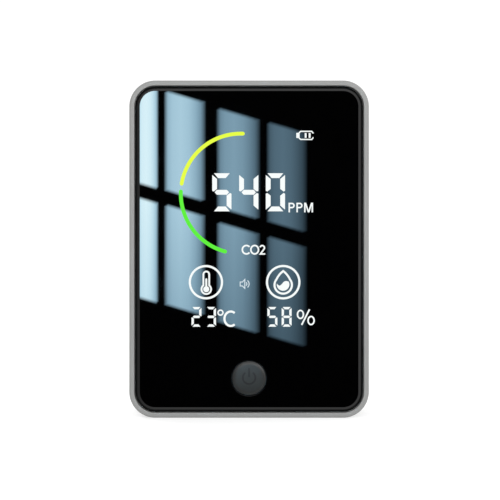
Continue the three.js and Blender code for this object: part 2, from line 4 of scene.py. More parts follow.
import bmesh
import bpy
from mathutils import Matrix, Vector

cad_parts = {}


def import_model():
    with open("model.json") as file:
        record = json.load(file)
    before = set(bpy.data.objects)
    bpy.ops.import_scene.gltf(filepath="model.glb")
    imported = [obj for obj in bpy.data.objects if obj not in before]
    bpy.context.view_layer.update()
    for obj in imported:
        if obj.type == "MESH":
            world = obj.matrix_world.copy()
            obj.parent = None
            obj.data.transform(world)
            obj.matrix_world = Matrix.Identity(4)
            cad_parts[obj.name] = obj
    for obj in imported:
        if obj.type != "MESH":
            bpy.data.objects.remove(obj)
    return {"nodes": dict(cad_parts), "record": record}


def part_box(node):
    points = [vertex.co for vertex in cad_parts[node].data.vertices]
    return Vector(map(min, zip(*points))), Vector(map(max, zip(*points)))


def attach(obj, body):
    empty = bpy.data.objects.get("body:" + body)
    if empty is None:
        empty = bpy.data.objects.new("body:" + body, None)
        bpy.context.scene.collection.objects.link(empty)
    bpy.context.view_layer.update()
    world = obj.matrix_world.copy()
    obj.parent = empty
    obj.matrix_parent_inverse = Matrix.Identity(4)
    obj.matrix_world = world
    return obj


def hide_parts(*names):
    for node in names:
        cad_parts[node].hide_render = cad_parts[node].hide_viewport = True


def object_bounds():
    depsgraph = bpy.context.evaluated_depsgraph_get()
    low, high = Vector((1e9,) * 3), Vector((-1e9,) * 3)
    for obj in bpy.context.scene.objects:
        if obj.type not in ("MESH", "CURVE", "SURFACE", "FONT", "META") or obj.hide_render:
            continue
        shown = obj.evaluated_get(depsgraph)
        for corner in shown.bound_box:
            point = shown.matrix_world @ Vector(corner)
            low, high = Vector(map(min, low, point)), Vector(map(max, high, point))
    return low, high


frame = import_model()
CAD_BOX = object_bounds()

MM = 0.001

# ---- Sizes in millimetres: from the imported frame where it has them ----


def node_box(name):
    low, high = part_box(name)
    return low / MM, high / MM


CASE_LOW, CASE_HIGH = (corner / MM for corner in CAD_BOX)
WIDTH = CASE_HIGH.x - CASE_LOW.x
HEIGHT = CASE_HIGH.z - CASE_LOW.z
DEPTH = CASE_HIGH.y - CASE_LOW.y
MIDDLE = HEIGHT / 2


def depth_of(y):
    """How far a place is behind the front of the rim."""
    return y - CASE_LOW.y


GLASS_LOW, GLASS_HIGH = node_box("front_glass")
GLASS_INSET = GLASS_LOW.x - CASE_LOW.x
GLASS_FRONT = depth_of(GLASS_LOW.y)
GLASS_BACK = depth_of(GLASS_HIGH.y)
RIM = node_box("glass_adhesive")[0].x - CASE_LOW.x - 0.1
PLATE_FRONT = depth_of(node_box("display_film")[1].y)
PLATE_BACK = PLATE_FRONT + 1.6
BOARD_FRONT = depth_of(node_box("gas_unit_guide")[1].y) + 0.7
SPLIT = depth_of(node_box("front_housing")[1].y)
SPLIT_GAP = 0.3
REAR_WALL = depth_of(node_box("grille_mesh")[1].y) + 0.05
CORNER = 7.6
WALL = 2
RIM_ROUND = 0.8
BACK_ROUND = 2.6
GLASS_BEVEL = 1
GLASS_BEVEL_DROP = 0.5

BUTTON_LOW, BUTTON_HIGH = node_box("power_button")
BUTTON_Z = (BUTTON_LOW.z + BUTTON_HIGH.z) / 2
BUTTON_RADIUS = 5
BUTTON_HOLE = 5.2
FLANGE_RADIUS = (BUTTON_HIGH.x - BUTTON_LOW.x) / 2
FLANGE_HOLE = 6.5


def centre_of(name):
    low, high = node_box(name)
    return (low.x + high.x) / 2, (low.z + high.z) / 2


CASE_SCREWS = [f"case_screw_{i}" for i in (1, 2, 3, 4)]
BOARD_SCREWS = [f"board_screw_{i}" for i in (1, 2, 3, 4)]
CASE_SCREW_PLACES = [centre_of(name) for name in CASE_SCREWS]
BOARD_SCREW_PLACES = [centre_of(name) for name in BOARD_SCREWS]
CASE_SCREW_SEAT = 21.5
GRILLE = {"z": centre_of("grille_mesh")[1], "slots": 6, "pitch": 4, "length": 34, "slot": 1.6}
SIDE_VENT = {"lowest": 54, "slots": 9, "pitch": 4, "slot": 1.6, "front": 17, "back": 23}
BUZZER_X, BUZZER_Z = centre_of("buzzer")
SOUND_HOLE = 0.65

CORNER_STEPS = 20
ROUND_STEPS = 8
EDGE = 0.2  # softened edges of slots and holes
EDGE_STEPS = 3
SHARP = math.radians(24)

# ---- Outlines, as lists of (x, z) or (along, across) points, anticlockwise ----


def arc(x, z, radius, start, end, steps, squash=1.0):
    """Points on an arc between two angles in degrees. squash is the height of the circle over its width."""
    turns = [math.radians(start + (end - start) * i / steps) for i in range(steps + 1)]
    return [(x + radius * math.cos(a), z + radius * squash * math.sin(a)) for a in turns]


def rounded_rect(width, height, radius, x=0.0, z=0.0, steps=CORNER_STEPS):
    points = []
    for quarter, (sx, sz) in enumerate(((1, 1), (-1, 1), (-1, -1), (1, -1))):
        cx = x + sx * (width / 2 - radius)
        cz = z + sz * (height / 2 - radius)
        points += arc(cx, cz, radius, 90 * quarter, 90 * quarter + 90, steps)
    return points


def case_outline(inset):
    radius = max(CORNER - inset, 0.5)
    return rounded_rect(WIDTH - 2 * inset, HEIGHT - 2 * inset, radius, 0, MIDDLE)


def circle(x, z, radius, steps=48, squash=1.0):
    return arc(x, z, radius, 0, 360, steps, squash)[:-1]


def pill(length, width, x=0.0, z=0.0, steps=8):
    half = (length - width) / 2
    right = arc(x + half, z, width / 2, -90, 90, steps)
    left = arc(x - half, z, width / 2, 90, 270, steps)
    return right + left


def offset(points, distance, closed=True):
    """Each point moved to the right of the way it runs, with mitred corners: outwards if anticlockwise."""
    moved = []
    count = len(points)
    for i, point in enumerate(points):
        here = Vector(point)
        before = Vector(points[i - 1]) if closed or i else None
        after = Vector(points[(i + 1) % count]) if closed or i < count - 1 else None
        arriving = (here - before).normalized() if before else (after - here).normalized()
        leaving = (after - here).normalized() if after else arriving
        side = Vector((arriving.y, -arriving.x))
        across = (side + Vector((leaving.y, -leaving.x))).normalized()
        moved.append(tuple(here + across * (distance / max(across.dot(side), 0.3))))
    return moved


def stroke(path, width, round_ends=False):
    """The outline of a line of even width along an open path."""
    right = offset(path, width / 2, closed=False)
    left = offset(path, -width / 2, closed=False)
    if not round_ends:
        return right + left[::-1]

    def end(tip, beside):
        along = math.degrees(math.atan2(beside[1] - tip[1], beside[0] - tip[0]))
        return arc(*tip, width / 2, along, along + 180, 8)[1:-1]

    return right + end(path[-1], right[-1]) + left[::-1] + end(path[0], left[0])


def band(path, width):
    """A closed line of even width: its outer outline and the hole in it."""
    return offset(path, width / 2), [offset(path, -width / 2)]


def smooth_curve(points, steps=6):
    """A soft curve through a few points."""
    ends = [points[0], *points, points[-1]]
    curve = []
    for p0, p1, p2, p3 in zip(ends, ends[1:], ends[2:], ends[3:]):
        for i in range(steps):
            t = i / steps
            weights = (
                -t / 2 + t * t - t**3 / 2,
                1 - 2.5 * t * t + 1.5 * t**3,
                t / 2 + 2 * t * t - 1.5 * t**3,
                -t * t / 2 + t**3 / 2,
            )
            near = (p0, p1, p2, p3)
            curve.append(tuple(sum(w * p[k] for w, p in zip(weights, near)) for k in (0, 1)))
    return curve + [points[-1]]


# ---- Meshes ----


class Form:
    """A mesh made of loops of points, walls between the loops and flat faces that close them."""

    def __init__(self):
        self.bm = bmesh.new()

    def place(self, points):
        return [self.bm.verts.new(Vector(point) * MM) for point in points]

    def loop(self, outline, depth):
        """An outline seen from the front, at a depth behind the front of the rim."""
        return self.place((x, CASE_LOW.y + depth, z) for x, z in outline)

    def side_loop(self, outline, x):
        """An outline of (depth, z) points on a side wall."""
        return self.place((x, CASE_LOW.y + depth, z) for depth, z in outline)

    def wall(self, first, second, left_out=()):
        count = len(first)
        for i in range(count):
            if i not in left_out:
                j = (i + 1) % count
                self.bm.faces.new((first[i], first[j], second[j], second[i]))

    def walls(self, loops):
        for first, second in zip(loops, loops[1:]):
            self.wall(first, second)

    def cap(self, *loops):
        """A flat face inside the first loop, with the other loops as holes in it."""
        edges = []
        for loop in loops:
            for a, b in zip(loop, loop[1:] + loop[:1]):
                edges.append(self.bm.edges.get((a, b)) or self.bm.edges.new((a, b)))
        bmesh.ops.triangle_fill(self.bm, use_beauty=True, use_dissolve=False, edges=edges)

    def turn(self, x, z, profile, steps=64):
        """A closed turned body. profile lists (radius, depth), and starts and ends on the axis."""
        middle = [self.loop(circle(x, z, radius, steps), depth) for radius, depth in profile[1:-1]]
        self.walls(middle)
        for (_, depth), loop in ((profile[0], middle[0]), (profile[-1], middle[-1])):
            tip = self.place([(x, CASE_LOW.y + depth, z)])[0]
            for a, b in zip(loop, loop[1:] + loop[:1]):
                self.bm.faces.new((a, b, tip))

    def solid(self, outline, holes, front, back):
        """A flat plate with holes."""
        shapes = [outline, *holes]
        fronts = [self.loop(shape, front) for shape in shapes]
        backs = [self.loop(shape, back) for shape in shapes]
        for near, far in zip(fronts, backs):
            self.wall(near, far)
        self.cap(*fronts)
        self.cap(*backs)

    def piece(self, name, material, body="case", sharp=SHARP):
        """Makes the object, which moves with a body."""
        bmesh.ops.recalc_face_normals(self.bm, faces=self.bm.faces)
        mesh = bpy.data.meshes.new(name)
        self.bm.to_mesh(mesh)
        self.bm.free()
        mesh.shade_smooth()
        mesh.set_sharp_from_angle(angle=sharp)
        mesh.materials.append(material)
        made = bpy.data.objects.new(name, mesh)
        bpy.context.scene.collection.objects.link(made)
        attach(made, body)
        return made


def stand_for(made, slot, *nodes):
    if nodes:
        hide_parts(*nodes)
    return made


# ---- Materials ----


class Nodes:
    """A material's node tree, with short ways to add to it."""

    def __init__(self, name):
        self.material = bpy.data.materials.new(name)
        self.material.use_nodes = True
        self.tree = self.material.node_tree
        self.shader = self.tree.nodes["Principled BSDF"]

    def add(self, kind, settings=(), **inputs):
        node = self.tree.nodes.new(kind)
        for key, value in dict(settings).items():
            setattr(node, key, value)
        for key, value in inputs.items():
            socket = node.inputs[key.replace("_", " ")]
            if isinstance(value, bpy.types.NodeSocket):
                self.tree.links.new(value, socket)
            else:
                socket.default_value = value
        return node

    def link(self, output, name):
        self.tree.links.new(output, self.shader.inputs[name])

    def place(self):
        return self.add("ShaderNodeTexCoord").outputs["Object"]

    def noise(self, grain, detail=3.0, vector=None):
        """Noise whose grain is about that many millimetres."""
        texture = self.add("ShaderNodeTexNoise", Vector=vector or self.place(), Scale=1 / (grain * MM))
        texture.inputs["Detail"].default_value = detail
        return texture.outputs["Fac"]

    def between(self, share, low, high):
        """A number that runs from low to high as share runs over the middle of its range."""
        ramp = self.add("ShaderNodeMapRange", Value=share, To_Min=low, To_Max=high)
        ramp.inputs["From Min"].default_value = 0.3
        ramp.inputs["From Max"].default_value = 0.7
        return ramp.outputs["Result"]

    def blend(self, share, low, high):
        """A colour between two colours."""
        mix = self.add("ShaderNodeMix", {"data_type": "RGBA"})
        self.tree.links.new(share, mix.inputs[0])
        for socket, colour in ((mix.inputs[6], low), (mix.inputs[7], high)):
            socket.default_value = (*colour, 1)
        return mix.outputs[2]

    def relief(self, height, depth):
        """Bumps that many millimetres deep."""
        bump = self.add("ShaderNodeBump", Height=height, Distance=depth * MM, Strength=1.0)
        self.link(bump.outputs["Normal"], "Normal")


def shaded(colour, amount):
    return tuple(channel * amount for channel in colour)


def moulded(name, colour, roughness, grain=0.35, tone=0.05, depth=0.012):
    """Textured moulded plastic: a fine spark-eroded grain, and a faint cloudiness in its colour."""
    nodes = Nodes(name)
    fine = nodes.noise(grain)
    cloud = nodes.noise(14, 2)
    share = nodes.between(cloud, 0.15, 0.85)
    nodes.link(nodes.blend(share, shaded(colour, 1 - tone), shaded(colour, 1 + tone)), "Base Color")
    nodes.link(nodes.between(fine, roughness - 0.06, roughness + 0.06), "Roughness")
    nodes.relief(fine, depth)
    return nodes.material


def metal(name, colour, roughness, grain=0.25, stretch=(1, 1, 14)):
    """Plated or rolled metal with fine lines."""
    nodes = Nodes(name)
    scaled = nodes.add("ShaderNodeMapping", Vector=nodes.place(), Scale=stretch).outputs["Vector"]
    lines = nodes.noise(grain, 4, scaled)
    nodes.link(nodes.blend(lines, shaded(colour, 0.86), shaded(colour, 1.08)), "Base Color")
    nodes.link(nodes.between(lines, roughness - 0.08, roughness + 0.1), "Roughness")
    nodes.shader.inputs["Metallic"].default_value = 1.0
    nodes.relief(lines, 0.004)
    return nodes.material


def black_glass():
    """Polished glass with a black print behind it. Faint wiping marks vary its polish."""
    nodes = Nodes("black_glass")
    marks = nodes.noise(9, 4)
    nodes.link(nodes.blend(marks, (0.0002, 0.0002, 0.00025), (0.0005, 0.0005, 0.0006)), "Base Color")
    nodes.link(nodes.between(marks, 0.006, 0.014), "Roughness")
    nodes.shader.inputs["IOR"].default_value = 1.5
    return nodes.material


def button_plastic():
    """Satin dark plastic with a fine sandblasted grain."""
    nodes = Nodes("button_plastic")
    fine = nodes.noise(0.16)
    cloud = nodes.noise(3, 2)
    nodes.link(nodes.blend(cloud, (0.016, 0.0172, 0.017), (0.021, 0.0224, 0.022)), "Base Color")
    nodes.link(nodes.between(fine, 0.3, 0.38), "Roughness")
    nodes.shader.inputs["Specular IOR Level"].default_value = 0.42
    nodes.relief(fine, 0.006)
    return nodes.material


def matt_ink():
    """The dull black ink of the power sign, with an uneven surface."""
    nodes = Nodes("matt_ink")
    blotches = nodes.noise(0.3)
    nodes.link(nodes.blend(blotches, (0.009, 0.0097, 0.0098), (0.0135, 0.0144, 0.0146)), "Base Color")
    nodes.link(nodes.between(blotches, 0.5, 0.65), "Roughness")
    nodes.shader.inputs["Specular IOR Level"].default_value = 0.33
    return nodes.material


def lit(name, colour):
    """A lit shape of the readout: a diffuser that glows evenly over a dark, finely grained body."""
    nodes = Nodes(name)
    grain = nodes.noise(0.3)
    nodes.link(nodes.blend(grain, (0.01, 0.01, 0.01), (0.02, 0.02, 0.02)), "Base Color")
    nodes.shader.inputs["Roughness"].default_value = 0.6
    nodes.shader.inputs["Specular IOR Level"].default_value = 0.0
    nodes.shader.inputs["Emission Color"].default_value = (*colour, 1)
    nodes.shader.inputs["Emission Strength"].default_value = 1.0
    return nodes.material


def circuit_board():
    """Green solder mask over a grid of copper tracks."""
    nodes = Nodes("circuit_board")
    tracks = nodes.add("ShaderNodeTexBrick", Vector=nodes.place(), Scale=1 / (3.2 * MM))
    tracks.inputs["Mortar Size"].default_value = 0.03
    mask = nodes.noise(6, 3)
    green = nodes.blend(mask, (0.012, 0.085, 0.036), (0.018, 0.12, 0.05))
    mix = nodes.add("ShaderNodeMix", {"data_type": "RGBA"})
    nodes.tree.links.new(tracks.outputs["Fac"], mix.inputs[0])
    nodes.tree.links.new(green, mix.inputs[6])
    mix.inputs[7].default_value = (0.03, 0.19, 0.08, 1)
    nodes.link(mix.outputs[2], "Base Color")
    nodes.link(nodes.between(mask, 0.25, 0.4), "Roughness")
    nodes.relief(tracks.outputs["Fac"], 0.03)
    return nodes.material


def woven_mesh():
    """Fine black cloth mesh: two sets of threads at right angles."""
    nodes = Nodes("woven_mesh")
    threads = []
    for direction in ("Z", "DIAGONAL"):
        wave = nodes.add(
            "ShaderNodeTexWave", {"bands_direction": direction}, Vector=nodes.place(), Scale=1 / (1.6 * MM)
        )
        threads.append(wave.outputs["Fac"])
    both = nodes.add("ShaderNodeMath", {"operation": "MULTIPLY"})
    for socket, thread in zip(both.inputs, threads):
        nodes.tree.links.new(thread, socket)
    nodes.link(nodes.blend(both.outputs[0], (0.004, 0.004, 0.004), (0.05, 0.05, 0.052)), "Base Color")
    nodes.shader.inputs["Roughness"].default_value = 0.8
    nodes.relief(both.outputs[0], 0.1)
    return nodes.material


def foil():
    """Creased aluminium laminate."""
    nodes = Nodes("foil")
    creases = nodes.noise(5, 5)
    nodes.link(nodes.blend(creases, (0.42, 0.43, 0.45), (0.62, 0.63, 0.65)), "Base Color")
    nodes.link(nodes.between(creases, 0.25, 0.5), "Roughness")
    nodes.shader.inputs["Metallic"].default_value = 0.8
    nodes.relief(creases, 0.15)
    return nodes.material


HOUSING_GREY = (0.238, 0.24, 0.235)
SLOT_MATERIALS = {
    "housing": moulded("housing_plastic", HOUSING_GREY, 0.5, tone=0.025),
    "glass": black_glass(),
    "button": button_plastic(),
    "reflector": moulded("white_reflector", (0.8, 0.8, 0.78), 0.55, 0.8, 0.02, 0.01),
    "film": moulded("smoked_film", (0.012, 0.012, 0.013), 0.35, 0.5, 0.1, 0.002),
    "tape": moulded("black_gasket", (0.006, 0.006, 0.006), 0.85, 0.25, 0.2, 0.03),
    "board": circuit_board(),
    "chip": moulded("chip_epoxy", (0.013, 0.013, 0.015), 0.45, 0.2, 0.15, 0.008),
    "steel": metal("plated_steel", (0.6, 0.6, 0.62), 0.28),
    "brass": metal("gold_plate", (0.72, 0.5, 0.2), 0.25),
    "cell": foil(),
    "white": moulded("white_nylon", (0.8, 0.79, 0.75), 0.5, 0.4, 0.03, 0.01),
    "foam": moulded("black_foam", (0.02, 0.02, 0.022), 0.9, 0.6, 0.25, 0.08),
    "mesh": woven_mesh(),
    "red": moulded("red_insulation", (0.45, 0.03, 0.02), 0.45, 0.3, 0.08, 0.01),
    "light_white": lit("lit_white", (0.93, 0.975, 0.965)),
    "light_yellow": lit("lit_yellow", (0.79, 0.98, 0.043)),
    "light_green": lit("lit_green", (0.1, 0.87, 0.03)),
}
DIM_WHITE = lit("lit_dim", (0.66, 0.76, 0.81))
MARK = matt_ink()

for part in frame["record"]["subparts"]:
    node = frame["nodes"][part["node"]]
    node.data.materials.clear()
    node.data.materials.append(SLOT_MATERIALS[part["material_slot"]])

# ---- Housings ----


SEAM_CHAMFER = 0.25
INNER_CHAMFER = 0.3
# Screw posts: outer radius, radius of the hole, and how deep behind the rim the hole ends.
CASE_POST = (3, 1.1, 7)
BOARD_POST = (2.3, 0.85, 4.9)
POST_GAP = 0.05  # between the board and the posts it sits on
READOUT_GAP = 0.5  # round the light box, where it passes the front plate
SOCKET_GAP = 0.7  # how much wider the socket's hole is than its shell
TONGUE_GAP, TONGUE_THICK = 0.2, 0.8  # of the lip on the rear half that reaches into the front half
TONGUE_REACH, TONGUE_ROOT = 1, 1.6
SOUND_RING = 3
SOUND_HOLE_SOFT = 0.6  # how much of the usual soft edge a sound hole has
SCREW_WELL, SCREW_BORE, SCREW_SLEEVE = 2.4, 1.2, 3.2
SLEEVE_GAP = 0.4  # between the two halves' screw posts
RIGHT_SIDE = 4 * CORNER_STEPS + 3  # which wall of a case outline's loop is the flat right-hand side
LEFT_SIDE = 2 * CORNER_STEPS + 1


def soft_edge():
    """How much wider a hole is, and how deep, at each step of its softened edge."""
    turns = [math.radians(90 * step / EDGE_STEPS) for step in range(EDGE_STEPS + 1)]
    return [(EDGE * (1 - math.sin(turn)), EDGE * (1 - math.cos(turn))) for turn in turns]


def hollow_post(form, x, z, sizes, top):
    """A screw post on the back of the front plate. Returns the loop where it meets the plate."""
    outer, hole, floor = sizes
    base = form.loop(circle(x, z, outer), PLATE_BACK)
    rim = form.loop(circle(x, z, outer), top)
    mouth = form.loop(circle(x, z, hole), top)
    bottom = form.loop(circle(x, z, hole), floor)
    form.walls([base, rim, mouth, bottom])
    form.cap(bottom)
    return base


def front_housing():
    form = Form()
    lip = RIM - EDGE
    outside = [
        (SEAM_CHAMFER, SPLIT),
        (0, SPLIT - SEAM_CHAMFER),
        *arc(RIM_ROUND, RIM_ROUND, RIM_ROUND, 180, 270, ROUND_STEPS),
        *arc(lip, EDGE, EDGE, 270, 360, EDGE_STEPS),
        (RIM, PLATE_FRONT),
    ]
    outer = [form.loop(case_outline(inset), depth) for inset, depth in outside]
    inner = [form.loop(case_outline(WALL), depth) for depth in (SPLIT, PLATE_BACK)]
    socket = usb_hole(form)
    for i, (near, far) in enumerate(zip(outer, outer[1:])):
        if i == 1:
            side_wall_with_holes(form, near, far, RIGHT_SIDE, [socket[0]])
        else:
            form.wall(near, far)
    form.wall(outer[0], inner[0])
    side_wall_with_holes(form, inner[0], inner[1], RIGHT_SIDE, [socket[1]])

    low, high = node_box("display_reflector")
    left, bottom = low.x - READOUT_GAP, low.z - READOUT_GAP
    right, top = high.x + READOUT_GAP, high.z + READOUT_GAP
    opening = [(right, top), (left, top), (left, bottom), (right, bottom)]
    through = [opening, circle(0, BUTTON_Z, FLANGE_HOLE, 64)]
    fronts = [form.loop(hole, PLATE_FRONT) for hole in through]
    backs = [form.loop(hole, PLATE_BACK) for hole in through]
    for near, far in zip(fronts, backs):
        form.wall(near, far)
    posts = [hollow_post(form, x, z, CASE_POST, SPLIT) for x, z in CASE_SCREW_PLACES]
    posts += [hollow_post(form, x, z, BOARD_POST, BOARD_FRONT - POST_GAP) for x, z in BOARD_SCREW_PLACES]
    form.cap(outer[-1], *fronts)
    form.cap(inner[-1], *backs, *posts)
    return stand_for(form.piece("housing_front", SLOT_MATERIALS["housing"]), "housing", "front_housing")


def side_wall_with_holes(form, near, far, index, holes):
    """A wall between two loops whose one flat side, at index, has holes in it."""
    form.wall(near, far, left_out=(index,))
    after = (index + 1) % len(near)
    form.cap([near[index], near[after], far[after], far[index]], *holes)


USB_LOW, USB_HIGH = node_box("usb_shell")
USB_DEPTH = depth_of((USB_LOW.y + USB_HIGH.y) / 2)
USB_Z = (USB_LOW.z + USB_HIGH.z) / 2
USB_LENGTH = USB_HIGH.z - USB_LOW.z
USB_HEIGHT = USB_HIGH.y - USB_LOW.y


def upright_pill(length, width, depth, z):
    """A pill that stands along Z on a side wall, as (depth, z) points."""
    return [(depth + across, z + along) for along, across in pill(length, width)]


def usb_hole(form):
    """The loops of the socket's hole at the outside and the inside of the right-hand wall."""
    length = USB_LENGTH + SOCKET_GAP
    width = USB_HEIGHT + SOCKET_GAP
    loops = []
    for wider, deep in soft_edge():
        outline = upright_pill(length + 2 * wider, width + 2 * wider, USB_DEPTH, USB_Z)
        loops.append(form.side_loop(outline, CASE_HIGH.x - deep))
    loops.append(form.side_loop(upright_pill(length, width, USB_DEPTH, USB_Z), CASE_HIGH.x - WALL))
    form.walls(loops)
    return loops[0], loops[-1]


def side_vents(form, side):
    """The vents' loops at the outside and at the inside of a side wall. side is -1 or 1."""
    middle = (SIDE_VENT["front"] + SIDE_VENT["back"]) / 2
    length = SIDE_VENT["back"] - SIDE_VENT["front"]
    outside, inside = [], []
    for i in range(SIDE_VENT["slots"]):
        z = SIDE_VENT["lowest"] + i * SIDE_VENT["pitch"]
        loops = []
        for wider, deep in soft_edge():
            outline = pill(length + 2 * wider, SIDE_VENT["slot"] + 2 * wider, middle, z)
            loops.append(form.side_loop(outline, side * (CASE_HIGH.x - deep)))
        straight = pill(length, SIDE_VENT["slot"], middle, z)
        loops.append(form.side_loop(straight, side * (CASE_HIGH.x - WALL)))
        form.walls(loops)
        outside.append(loops[0])
        inside.append(loops[-1])
    return outside, inside


def soft_hole(form, outline, floor):
    """A hole from the back face inwards to a depth, with a softened edge. outline(wider) gives its shape."""
    loops = [form.loop(outline(wider), DEPTH - deep) for wider, deep in soft_edge()]
    loops.append(form.loop(outline(0), floor))
    form.walls(loops)
    return loops[0], loops[-1]


def rear_housing():
    form = Form()
    start = SPLIT + SPLIT_GAP
    flat = DEPTH - BACK_ROUND
    outside = [
        (SEAM_CHAMFER, start),
        (0, start + SEAM_CHAMFER),
        *arc(BACK_ROUND, flat, BACK_ROUND, 180, 90, 12),
    ]
    tongue_out, tongue_in = WALL + TONGUE_GAP, WALL + TONGUE_GAP + TONGUE_THICK
    tongue = [
        (tongue_in, start + TONGUE_ROOT), (tongue_in, SPLIT - TONGUE_REACH),
        (tongue_out, SPLIT - TONGUE_REACH), (tongue_out, start),
    ]
    inside = [(WALL, REAR_WALL - INNER_CHAMFER), (WALL, start + TONGUE_ROOT), *tongue]
    outer = [form.loop(case_outline(inset), depth) for inset, depth in outside]
    inner = [form.loop(case_outline(inset), depth) for inset, depth in inside]
    rear_inside = form.loop(case_outline(WALL + INNER_CHAMFER), REAR_WALL)
    form.wall(rear_inside, inner[0])

    left_vents, right_vents = side_vents(form, -1), side_vents(form, 1)
    for first, second, which in ((outer[1], outer[2], 0), (inner[0], inner[1], 1)):
        form.wall(first, second, left_out=(LEFT_SIDE, RIGHT_SIDE))
        for index, vents in ((LEFT_SIDE, left_vents), (RIGHT_SIDE, right_vents)):
            after = (index + 1) % len(first)
            corners = [first[index], first[after], second[after], second[index]]
            form.cap(corners, *vents[which])
    form.wall(outer[0], outer[1])
    form.walls(outer[2:])
    form.walls(inner[1:])
    form.wall(inner[-1], outer[0])

    back_holes, inner_holes = [], []

    def keep(loops):
        back_holes.append(loops[0])
        inner_holes.append(loops[1])

    lowest = GRILLE["z"] - (GRILLE["slots"] - 1) * GRILLE["pitch"] / 2
    length, slot = GRILLE["length"], GRILLE["slot"]
    for i in range(GRILLE["slots"]):
        z = lowest + i * GRILLE["pitch"]
        keep(soft_hole(form, lambda w: pill(length + 2 * w, slot + 2 * w, 0, z), REAR_WALL))
    for x, z in [(BUZZER_X, BUZZER_Z), *circle(BUZZER_X, BUZZER_Z, SOUND_RING, 6)]:
        keep(soft_hole(form, lambda w: circle(x, z, SOUND_HOLE + w * SOUND_HOLE_SOFT, 20), REAR_WALL))
    for x, z in CASE_SCREW_PLACES:
        mouth, floor = soft_hole(form, lambda w: circle(x, z, SCREW_WELL + w), CASE_SCREW_SEAT)
        shaft = form.loop(circle(x, z, SCREW_BORE), CASE_SCREW_SEAT)
        tip_inside = form.loop(circle(x, z, SCREW_BORE), SPLIT + SLEEVE_GAP)
        tip_outside = form.loop(circle(x, z, SCREW_SLEEVE), SPLIT + SLEEVE_GAP)
        foot = form.loop(circle(x, z, SCREW_SLEEVE), REAR_WALL)
        form.walls([floor, shaft, tip_inside, tip_outside, foot])
        back_holes.append(mouth)
        inner_holes.append(foot)
    form.cap(outer[-1], *back_holes)
    form.cap(rear_inside, *inner_holes)
    return stand_for(form.piece("housing_rear", SLOT_MATERIALS["housing"]), "housing", "rear_housing")


# ---- Glass, button, screws and socket ----


def glass():
    form = Form()
    edge = 0.12
    insets = [
        (GLASS_INSET + edge, GLASS_BACK),
        (GLASS_INSET, GLASS_BACK - edge),
        (GLASS_INSET, GLASS_FRONT + GLASS_BEVEL_DROP),
        (GLASS_INSET + GLASS_BEVEL, GLASS_FRONT),
    ]
    outer = [form.loop(case_outline(inset), depth) for inset, depth in insets]
    hole = [
        form.loop(circle(0, BUTTON_Z, radius, 96), depth)
        for radius, depth in (
            (BUTTON_HOLE, GLASS_BACK),
            (BUTTON_HOLE, GLASS_FRONT + edge),
            (BUTTON_HOLE + edge, GLASS_FRONT),
        )
    ]
    form.walls(outer)
    form.walls(hole)
    form.cap(outer[-1], hole[-1])
    form.cap(outer[0], hole[0])
    return stand_for(form.piece("glass_front", SLOT_MATERIALS["glass"]), "glass", "front_glass")


CROWN_FRONT = depth_of(BUTTON_LOW.y)
CROWN_DROP = 0.14
CROWN_EDGE = BUTTON_RADIUS - 0.65
RING_EDGE = BUTTON_RADIUS - 0.12
FLANGE_FRONT = GLASS_BACK + 0.45
FLANGE_BACK = FLANGE_FRONT + 0.65


def crown_depth(radius):
    """How deep the button's face is, that far from its middle."""
    return CROWN_FRONT + CROWN_DROP * (radius / CROWN_EDGE) ** 2


def button():
    form = Form()
    face = [(CROWN_EDGE * i / 8, crown_depth(CROWN_EDGE * i / 8)) for i in range(9)]
    ring = crown_depth(CROWN_EDGE) + 0.02
    chamfer = [(CROWN_EDGE + 0.04, ring), (RING_EDGE, ring + 0.19), (BUTTON_RADIUS, ring + 0.8)]
    skirt = [(BUTTON_RADIUS, FLANGE_FRONT), (FLANGE_RADIUS, FLANGE_FRONT), (FLANGE_RADIUS, FLANGE_BACK)]
    pip_back = depth_of(BUTTON_HIGH.y)
    pip = [(1.6, FLANGE_BACK), (1.6, pip_back), (0, pip_back)]
    form.turn(0, BUTTON_Z, [*face, *chamfer, *skirt, *pip], 96)
    made = form.piece("button_cap", SLOT_MATERIALS["button"], "button")
    return stand_for(made, "button", "power_button")


def power_mark():
    """The power sign on the button's face: an open ring and a bar, printed a hair proud of the crown."""
    form = Form()
    ring = arc(0, BUTTON_Z + 0.15, 1.82, 128, 412, 48)
    bar_foot, bar_length, half_width, proud, sunk = 0.35, 2.6, 0.26, 0.012, 0.03
    bar = [(0, BUTTON_Z + bar_foot + bar_length * i / 6) for i in range(7)]
    for path in (ring, bar):
        left = offset(path, half_width, closed=False)
        right = offset(path, -half_width, closed=False)
        rows = []
        for lift in (proud, -sunk):
            for line in (left, right):
                points = []
                for x, z in line:
                    depth = crown_depth(math.hypot(x, z - BUTTON_Z)) - lift
                    points.append((x, CASE_LOW.y + depth, z))
                rows.append(form.place(points))
        near_left, near_right, far_left, far_right = rows
        around = [near_left, near_right, far_right, far_left]
        for first, second in zip(around, around[1:] + around[:1]):
            for i in range(len(path) - 1):
                form.bm.faces.new((first[i], first[i + 1], second[i + 1], second[i]))
        for i in (0, -1):
            form.bm.faces.new([row[i] for row in around])
    return stand_for(form.piece("button_power_mark", MARK, "button"), "button")


